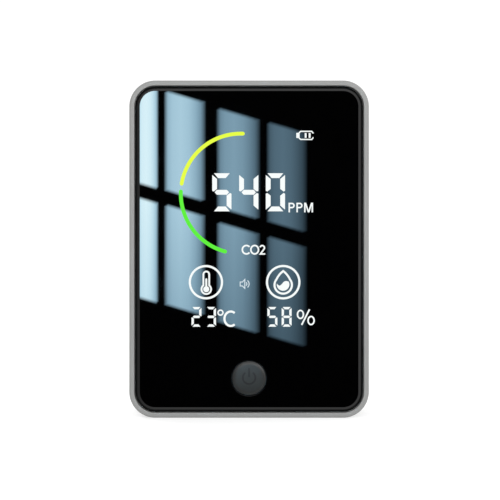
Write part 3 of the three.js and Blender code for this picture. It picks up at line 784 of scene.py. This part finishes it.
def screw(name, x, z):
    """A pan-head screw with a cross recess whose walls taper."""
    form = Form()
    low, high = node_box(name)
    tip, top = depth_of(low.y), depth_of(high.y)
    head = (high.x - low.x) / 2
    seat = CASE_SCREW_SEAT + 0.05
    slot, reach, sunk = head * 0.15, head * 0.58, 0.9
    cross = [
        (slot, slot), (slot, reach), (-slot, reach), (-slot, slot), (-reach, slot), (-reach, -slot),
        (-slot, -slot), (-slot, -reach), (slot, -reach), (slot, -slot), (reach, -slot), (reach, slot),
    ]
    shank, point, taper, dome = 0.95, 0.35, 0.9, 0.5
    profile = [
        (point, tip), (shank, tip + taper), (shank, seat), (head, seat), (head, top - dome - 0.05),
        *arc(head - dome, top - dome, dome, 0, 80, 5),
    ]
    loops = [form.loop(circle(x, z, radius), depth) for radius, depth in profile]
    mouth = form.loop([(x + dx, z + dz) for dx, dz in cross], top)
    bottom = form.loop([(x + dx * 0.6, z + dz * 0.6) for dx, dz in cross], top - sunk)
    form.walls(loops)
    form.wall(mouth, bottom)
    form.cap(loops[0])
    last = form.loop(circle(x, z, head - 0.6), top)
    form.wall(loops[-1], last)
    form.cap(last, mouth)
    form.cap(bottom)
    made = form.piece(name.replace("case_screw", "screw"), SLOT_MATERIALS["steel"])
    return stand_for(made, "steel", name)


def usb_socket():
    """The rolled steel shell, and the black tongue with gold contacts in it."""
    wall, soft, recess = 0.3, 0.08, 0.8
    form = Form()
    mouth, back = CASE_HIGH.x - recess, USB_LOW.x
    shapes = [
        (0, back), (0, mouth - soft), (soft, mouth), (wall - soft, mouth),
        (wall, mouth - soft), (wall, back + 0.5),
    ]
    loops = []
    for inset, x in shapes:
        outline = upright_pill(USB_LENGTH - 2 * inset, USB_HEIGHT - 2 * inset, USB_DEPTH, USB_Z)
        loops.append(form.side_loop(outline, x))
    form.walls(loops)
    form.cap(loops[0])
    form.cap(loops[-1])
    stand_for(form.piece("usb_socket_shell", SLOT_MATERIALS["steel"]), "steel", "usb_shell")

    low, high = node_box("usb_tongue")
    form = Form()
    block = upright_pill(high.z - low.z, high.y - low.y, USB_DEPTH, USB_Z)
    base = 1.4
    front = form.side_loop(block, low.x + base)
    rear = form.side_loop(block, low.x)
    form.wall(front, rear)
    form.cap(rear)
    half, thick = 3.3, 0.35
    root = rounded_rect(2 * thick, 2 * half, 0.12, USB_DEPTH, USB_Z, 4)
    slim = rounded_rect(2 * thick - 0.2, 2 * half - 0.2, 0.1, USB_DEPTH, USB_Z, 4)
    steps = ((root, low.x + base), (root, high.x - 0.2), (slim, high.x))
    tongue = [form.side_loop(outline, x) for outline, x in steps]
    form.walls(tongue)
    form.cap(front, tongue[0])
    form.cap(tongue[-1])
    stand_for(form.piece("usb_socket_tongue", SLOT_MATERIALS["chip"]), "chip", "usb_tongue")

    form = Form()
    contacts, pitch = 12, 0.5
    for side in (-1, 1):
        for i in range(contacts):
            z = USB_Z + (i - (contacts - 1) / 2) * pitch
            level = USB_DEPTH + side * thick
            strip = rounded_rect(0.04, 0.26, 0.015, level, z, 2)
            ends = [form.side_loop(strip, x) for x in (low.x + 1.8, high.x - 0.5)]
            form.walls(ends)
            form.cap(ends[0])
            form.cap(ends[1])
    stand_for(form.piece("usb_socket_contacts", SLOT_MATERIALS["brass"]), "brass")


# ---- The readout ----

LIFT = 0.002  # between the glass and a lit shape
LIT_THICKNESS = 0.02


def lit_piece(name, slot, shapes, material=None):
    """Lit shapes on the glass. Each shape is an outline, or an outline and its holes."""
    form = Form()
    back = GLASS_FRONT - LIFT
    for shape in shapes:
        outline, holes = shape if isinstance(shape, tuple) else (shape, [])
        form.solid(outline, holes, back - LIT_THICKNESS, back)
    return stand_for(form.piece(name, material or SLOT_MATERIALS[slot]), slot)


# The bars of a seven-segment digit: top, middle, bottom, upper left and right, lower left and right.
DIGIT_BARS = {
    "0": (1, 0, 1, 1, 1, 1, 1),
    "2": (1, 1, 1, 0, 1, 1, 0),
    "3": (1, 1, 1, 0, 1, 0, 1),
    "4": (0, 1, 0, 1, 1, 0, 1),
    "5": (1, 1, 1, 1, 0, 0, 1),
    "8": (1, 1, 1, 1, 1, 1, 1),
}


def digit(character, left, bottom, width, height, thick, gap):
    """The lit bars of one digit, with mitred ends and gap between them."""
    right, top, middle = left + width, bottom + height, bottom + height / 2
    half = gap / 2
    left, right, bottom, top = left - half, right + half, bottom - half, top + half
    bar = thick + gap
    nib = bar * 0.16  # how much a bar's outer corner is cut off
    west, east = left + bar * 0.36, right - bar * 0.36  # the points of the middle bar
    west_shoulder, east_shoulder = left + bar * 0.8, right - bar * 0.8
    in_left, in_right, in_bottom, in_top = left + bar, right - bar, bottom + bar, top - bar
    over, under = middle + bar / 2, middle - bar / 2
    bars = [
        [(left + nib, top), (in_left, in_top), (in_right, in_top), (right - nib, top)],
        [
            (west, middle), (west_shoulder, under), (east_shoulder, under),
            (east, middle), (east_shoulder, over), (west_shoulder, over),
        ],
        [(left + nib, bottom), (right - nib, bottom), (in_right, in_bottom), (in_left, in_bottom)],
        [(left, top - nib), (left, middle + nib), (west, middle), (in_left, over), (in_left, in_top)],
        [(right, top - nib), (in_right, in_top), (in_right, over), (east, middle), (right, middle + nib)],
        [(left, middle - nib), (left, bottom + nib), (in_left, in_bottom), (in_left, under), (west, middle)],
        [
            (right, middle - nib), (east, middle), (in_right, under),
            (in_right, in_bottom), (right, bottom + nib),
        ],
    ]
    return [offset(shape, -half) for shape, on in zip(bars, DIGIT_BARS[character]) if on]


def number(text, lefts, bottom, width, height, thick, gap):
    bars = []
    for character, left in zip(text, lefts):
        bars += digit(character, left, bottom, width, height, thick, gap)
    return bars


def letter_p(left, bottom, width, height, thick):
    waist = bottom + height * 0.42
    top = bottom + height
    radius = (top - waist) / 2
    centre = left + width - radius
    bowl = arc(centre, waist + radius, radius, -90, 90, 12)
    outline = [(left, bottom), (left + thick, bottom), (left + thick, waist), *bowl, (left, top)]
    inner_bowl = arc(centre, waist + radius, radius - thick, -90, 90, 12)
    return outline, [[(left + thick, waist + thick), *inner_bowl, (left + thick, top - thick)]]


def letter_m(left, bottom, width, height, thick):
    right, top, middle = left + width, bottom + height, left + width / 2
    slant = thick * 0.55
    return [
        (left, bottom), (left + thick, bottom), (left + thick, top - height * 0.3),
        (middle - slant, bottom), (middle + slant, bottom), (right - thick, top - height * 0.3),
        (right - thick, bottom), (right, bottom), (right, top), (right - thick * 1.35, top),
        (middle, bottom + thick * 1.5), (left + thick * 1.35, top), (left, top),
    ]


def letter_c(x, z, radius, thick, squash, opening):
    path = arc(x, z, radius - thick / 2, opening, 360 - opening, 40, squash)
    return stroke(path, thick)


def letter_o(x, z, radius, thick, squash):
    return band(circle(x, z, radius - thick / 2, 48, squash), thick)


def figure_two(left, bottom, width, height, thick):
    radius = width / 2 - thick / 2
    x = left + width / 2
    hook = arc(x, bottom + height - radius - thick / 2, radius, 165, -35, 16)
    base = bottom + thick / 2
    return stroke([*hook, (left + thick * 0.75, base), (left + width, base)], thick)


def readout():
    white = "light_white"
    # The gas reading, its unit and its name.
    lit_piece("lit_reading", white, number("540", (-10.75, -2.9, 4.88), 60.28, 5.6, 11.1, 1.4, 0.38))
    unit_bottom, unit_height, unit_thick = 59.98, 2.8, 0.43
    letters = [letter_p(left, unit_bottom, 1.8, unit_height, unit_thick) for left in (11.5, 13.8)]
    letters.append(letter_m(16.05, unit_bottom, 2.6, unit_height, unit_thick))
    lit_piece("lit_unit", white, letters)
    name = [
        letter_c(-0.78, 49.08, 1.42, 0.46, 1.03, 42),
        letter_o(1.62, 49.08, 1.34, 0.46, 1.1),
        figure_two(2.95, 47.62, 1.75, 2.88, 0.44),
    ]
    lit_piece("lit_gas_name", white, name)
    # The gauge's two lit arcs. The third, for bad air, is dark.
    for name, slot, start, end in (
        ("lit_gauge_middle", "light_yellow", 88.1, 170.5),
        ("lit_gauge_low", "light_green", 178.0, 254.8),
    ):
        path = arc(-2.42, 65.44, 17.5, start, end, 48)
        lit_piece(name, slot, [stroke(path, 1.12, round_ends=True)])
    lit_piece("lit_battery", white, battery_sign())
    lit_piece("lit_thermometer", white, thermometer_sign())
    lit_piece("lit_drop", white, drop_sign())
    lit_piece("lit_sound", white, sound_sign(), DIM_WHITE)
    # Temperature and humidity.
    small = (26.62, 2.9, 5.75, 0.68, 0.26)
    lit_piece("lit_temperature", white, number("23", (-16.8, -12.55), *small))
    lit_piece("lit_humidity", white, number("58", (5.35, 9.5), *small))
    degrees = [letter_o(-8.35, 30.72, 0.92, 0.4, 1), letter_c(-5.35, 28.95, 2.15, 0.62, 1.14, 52)]
    lit_piece("lit_temperature_unit", white, degrees)
    percent = [
        letter_o(14.98, 30.2, 1.08, 0.44, 1.35),
        stroke([(15.32, 27.15), (17.62, 31.67)], 0.46),
        letter_o(18.08, 28.42, 1.1, 0.44, 1.33),
    ]
    lit_piece("lit_humidity_unit", white, percent)


def battery_sign():
    """An open battery outline with its terminal on the left and two lit bars."""
    left, right, top, bottom, thick, cut = 14.55, 18.65, 83.6, 81.25, 0.36, 0.48
    body = [
        (right + 0.1, top - cut - 0.1), (right - cut + 0.1, top), (left + cut, top), (left, top - cut),
        (left, bottom + cut), (left + cut, bottom), (right - cut + 0.1, bottom),
        (right + 0.1, bottom + cut + 0.1),
    ]
    terminal = rounded_rect(0.62, 1.5, 0.15, left - 0.47, (top + bottom) / 2, 4)
    bars = [rounded_rect(0.55, 1.4, 0.08, x, (top + bottom) / 2, 3) for x in (16.5, 17.66)]
    return [stroke(body, thick), terminal, *bars]


def thermometer_sign():
    x, bulb_z, radius, half_stem, top = -12.49, 37.55, 1.4, 0.85, 42.72

    def outline(bulb, half, stem_top):
        """A bulb with a stem that has a round top, starting at the right of the neck."""
        neck = math.degrees(math.acos(half / bulb))
        around = arc(x, bulb_z, bulb, 180 - neck, 360 + neck, 28)
        return around + arc(x, stem_top - half, half, 0, 180, 12)

    ring = band(circle(-12.6, 39.6, 4.7, 72), 0.62)
    return [ring, band(outline(radius, half_stem, top), 0.5), outline(0.88, 0.28, 40.72)]


def drop_sign():
    x, low_z, radius, apex = 9.95, 38.8, 2.54, 42.85
    lean = math.degrees(math.asin(radius / (apex - low_z)))
    round_part = arc(x, low_z, radius, 180 - lean, 360 + lean, 40)
    tangent = Vector(round_part[-1])
    side = Vector((x, apex)) - tangent
    outwards = Vector((side.y, -side.x)).normalized()
    right = [tangent + side * t + outwards * (0.8 * t * (1 - t)) for t in (0.15, 0.3, 0.45, 0.6, 0.75, 0.9)]
    left = [(2 * x - point.x, point.y) for point in right[::-1]]
    drop = [*round_part, *map(tuple, right), (x, apex), *left]
    fill_x, fill_z, fill = 9.91, 38.95, 1.84
    wave = smooth_curve([(-1.85, 0.25), (-1.1, -0.35), (-0.45, 0.0), (0.15, 0.7), (0.85, 1.0), (1.65, 0.8)])
    water = [(fill_x + dx, fill_z + dz) for dx, dz in wave[::-1]]
    around = arc(fill_x, fill_z, fill, 172, 390, 36)
    ring = band(circle(9.95, 39.6, 4.72, 72), 0.62)
    return [ring, band(drop, 0.58), around[1:-1] + water]


def sound_sign():
    thick = 0.27
    cone = [(-2.6, 38.5), (-1.95, 38.5), (-1.25, 37.8), (-1.25, 40.4), (-1.95, 39.65), (-2.6, 39.65)]
    waves = [stroke(arc(-1.3, 39.08, radius, -50, 50, 12), thick) for radius in (0.65, 1.3)]
    return [band(cone, thick), *waves]


# ---- Studio ----

LENS = 100
SENSOR = 36
FRAME_HEIGHT = 146.05  # how much height the picture shows at the case's front
CENTRE_X, CENTRE_Z = 0.263, 48.99
CAMERA_DISTANCE = FRAME_HEIGHT * LENS / SENSOR


def camera():
    data = bpy.data.cameras.new("camera")
    data.lens = LENS
    data.sensor_width = SENSOR
    data.clip_start = 0.01
    data.clip_end = 20
    made = bpy.data.objects.new("camera", data)
    bpy.context.scene.collection.objects.link(made)
    made.location = Vector((CENTRE_X, CASE_LOW.y + RIM_ROUND - CAMERA_DISTANCE, CENTRE_Z)) * MM
    made.rotation_euler = (math.pi / 2, 0, 0)
    bpy.context.scene.camera = made


# The window's panes, as where they fall on the glass: left and right edges and lift in millimetres,
# and how bright.
WINDOW_PANES = [
    (-32.5, -26.38, -0.1, 1.15),
    (-24.85, -12.6, 0.25, 0.5),
    (-9.6, 3.35, -0.2, 0.225),
    (5.0, 17.08, 0.1, 0.09),
]
WINDOW_TINT = (1, 1.82, 2.5)
# How bright a pane is from its left edge, 0, to its right edge, 1.
PANE_PROFILE = [(0, 0), (0.1, 0.7), (0.2, 0.9), (0.4, 1), (0.6, 0.86), (0.75, 0.62), (0.87, 0.39), (1, 0)]
# The lower and the upper row's lower and upper edges: height where x is 0, slope, and share of the light.
WINDOW_ROWS = [((25.64, -0.301, 0.68), (54.56, -0.303, 1.0)), ((59.0, -0.3, 1.0), (87.82, -0.3, 1.0))]
WINDOW_SOFT = 1.1  # how wide the blurred upper and lower edges are
WINDOW_DISTANCE = 900
GLASS_REFLECTANCE = 0.04


def stage_piece(name, bm, material):
    """Makes an object of the studio from a mesh in the making."""
    mesh = bpy.data.meshes.new(name)
    bm.to_mesh(mesh)
    bm.free()
    mesh.materials.append(material)
    made = bpy.data.objects.new(name, mesh)
    bpy.context.scene.collection.objects.link(made)
    return made


def window():
    """A window behind the camera, sized and placed so that the glass mirrors it where the tables say."""
    spread = WINDOW_DISTANCE / (CAMERA_DISTANCE - RIM_ROUND + GLASS_FRONT)
    bm = bmesh.new()
    glow = bm.verts.layers.float_color.new("glow")
    for low, high in WINDOW_ROWS:
        rows = [(low, -1, 0), (low, 1, 1), (high, -1, 1), (high, 1, 0)]
        for left, right, lift, strength in WINDOW_PANES:
            grid = []
            for (height, slope, light), side, share in rows:
                line = []
                for along, profile in PANE_PROFILE:
                    x = left + (right - left) * along
                    z = height + slope * x + lift + side * WINDOW_SOFT / 2
                    place = Vector((
                        x + (x - CENTRE_X) * spread,
                        CASE_LOW.y + GLASS_FRONT - WINDOW_DISTANCE,
                        z + (z - CENTRE_Z) * spread,
                    ))
                    vert = bm.verts.new(place * MM)
                    seen = [1 - math.exp(-strength * light * tint * profile) for tint in WINDOW_TINT]
                    vert[glow] = (*(part * share / GLASS_REFLECTANCE for part in seen), 1)
                    line.append(vert)
                grid.append(line)
            for lower, upper in zip(grid, grid[1:]):
                for i in range(len(PANE_PROFILE) - 1):
                    bm.faces.new((lower[i], lower[i + 1], upper[i + 1], upper[i]))
    material = bpy.data.materials.new("window_light")
    material.use_nodes = True
    tree = material.node_tree
    tree.nodes.clear()
    colour = tree.nodes.new("ShaderNodeAttribute")
    colour.attribute_name = "glow"
    emission = tree.nodes.new("ShaderNodeEmission")
    output = tree.nodes.new("ShaderNodeOutputMaterial")
    tree.links.new(colour.outputs["Color"], emission.inputs["Color"])
    tree.links.new(emission.outputs["Emission"], output.inputs["Surface"])
    made = stage_piece("window", bm, material)
    made.visible_camera = made.visible_diffuse = made.visible_shadow = False


def sweep():
    """A pale floor that curves up into a backdrop."""
    half, front, back, bend, top = 3.0, -3.0, 1.6, 0.6, 2.6
    line = [(front, 0.0), (back - bend, 0.0)]
    line += [
        (back - bend + bend * math.sin(math.radians(a)), bend - bend * math.cos(math.radians(a)))
        for a in range(6, 91, 6)
    ]
    line.append((back, top))
    bm = bmesh.new()
    rows = [[bm.verts.new((x, y, z)) for y, z in line] for x in (-half, half)]
    for i in range(len(line) - 1):
        bm.faces.new((rows[0][i], rows[1][i], rows[1][i + 1], rows[0][i + 1]))
    nodes = Nodes("pale_floor")
    cloud = nodes.noise(400, 2)
    nodes.link(nodes.blend(cloud, (0.49, 0.49, 0.49), (0.51, 0.51, 0.51)), "Base Color")
    nodes.shader.inputs["Roughness"].default_value = 0.9
    nodes.shader.inputs["Specular IOR Level"].default_value = 0.0
    nodes.shader.inputs["Emission Color"].default_value = (1, 1, 1, 1)
    nodes.shader.inputs["Emission Strength"].default_value = 0.56
    made = stage_piece("sweep", bm, nodes.material)
    made.data.shade_smooth()
    made.visible_glossy = False


def world():
    """Soft light from all round. Mirror-like surfaces see a dark middle in front of the case."""
    made = bpy.data.worlds.new("studio")
    bpy.context.scene.world = made
    made.use_nodes = True
    tree = made.node_tree
    tree.nodes.clear()

    def add(kind, **settings):
        node = tree.nodes.new(kind)
        for key, value in settings.items():
            setattr(node, key, value)
        return node

    def math_node(operation, *values):
        node = add("ShaderNodeMath", operation=operation)
        for socket, value in zip(node.inputs, values):
            if isinstance(value, bpy.types.NodeSocket):
                tree.links.new(value, socket)
            else:
                socket.default_value = value
        return node.outputs[0]

    direction = add("ShaderNodeSeparateXYZ")
    tree.links.new(add("ShaderNodeTexCoord").outputs["Generated"], direction.inputs[0])
    x, y, z = direction.outputs
    # How far to the side of straight ahead a mirror ray looks: dark within 38 degrees, bright from 56.
    ahead = add("ShaderNodeMapRange", interpolation_type="SMOOTHSTEP")
    tree.links.new(math_node("MULTIPLY", y, -1), ahead.inputs["Value"])
    for name, value in (("From Min", 0.79), ("From Max", 0.56), ("To Min", 0.0), ("To Max", 1.0)):
        ahead.inputs[name].default_value = value
    across = math_node("MULTIPLY_ADD", x, 0.25, 0.72)
    upright = math_node("MULTIPLY", z, math_node("MULTIPLY_ADD", z, 0.35, 0.15))
    mirrored = math_node("MULTIPLY", ahead.outputs["Result"], math_node("ADD", across, upright))
    soft = math_node("MULTIPLY_ADD", y, -0.08, math_node("MULTIPLY_ADD", z, 0.12, 0.76))

    path = add("ShaderNodeLightPath")
    glossy = add("ShaderNodeMix")
    tree.links.new(path.outputs["Is Glossy Ray"], glossy.inputs[0])
    tree.links.new(soft, glossy.inputs[2])
    tree.links.new(mirrored, glossy.inputs[3])
    seen = add("ShaderNodeMix")
    tree.links.new(path.outputs["Is Camera Ray"], seen.inputs[0])
    tree.links.new(glossy.outputs[0], seen.inputs[2])
    seen.inputs[3].default_value = 1.0
    background = add("ShaderNodeBackground")
    background.inputs["Color"].default_value = (1, 1, 1, 1)
    tree.links.new(seen.outputs[0], background.inputs["Strength"])
    output = add("ShaderNodeOutputWorld")
    tree.links.new(background.outputs[0], output.inputs["Surface"])


def softbox(name, place, aim, size, power, mirrored=True):
    data = bpy.data.lights.new(name, "AREA")
    data.shape = "RECTANGLE"
    data.size, data.size_y = size
    data.energy = power
    made = bpy.data.objects.new(name, data)
    bpy.context.scene.collection.objects.link(made)
    made.location = place
    made.rotation_euler = (Vector(aim) - Vector(place)).to_track_quat("-Z", "Y").to_euler()
    made.visible_camera = False
    made.visible_glossy = mirrored


# ---- Everything together ----

front_housing()
rear_housing()
glass()
button()
power_mark()
for screw_name, (screw_x, screw_z) in zip(CASE_SCREWS, CASE_SCREW_PLACES):
    screw(screw_name, screw_x, screw_z)
usb_socket()
readout()

camera()
window()
sweep()
world()
softbox("front_light", (0.1, -0.7, 0.33), (0, 0, 0.05), (1.1, 0.3), 3.3)
softbox("back_light", (-0.7, 0.75, 0.8), (0, 0, 0.05), (0.5, 0.5), 6.0, mirrored=False)
softbox("side_light", (0.9, 0.15, 0.5), (0, 0, 0.05), (0.4, 0.4), 2.5, mirrored=False)
bpy.context.scene.view_settings.view_transform = "Standard"
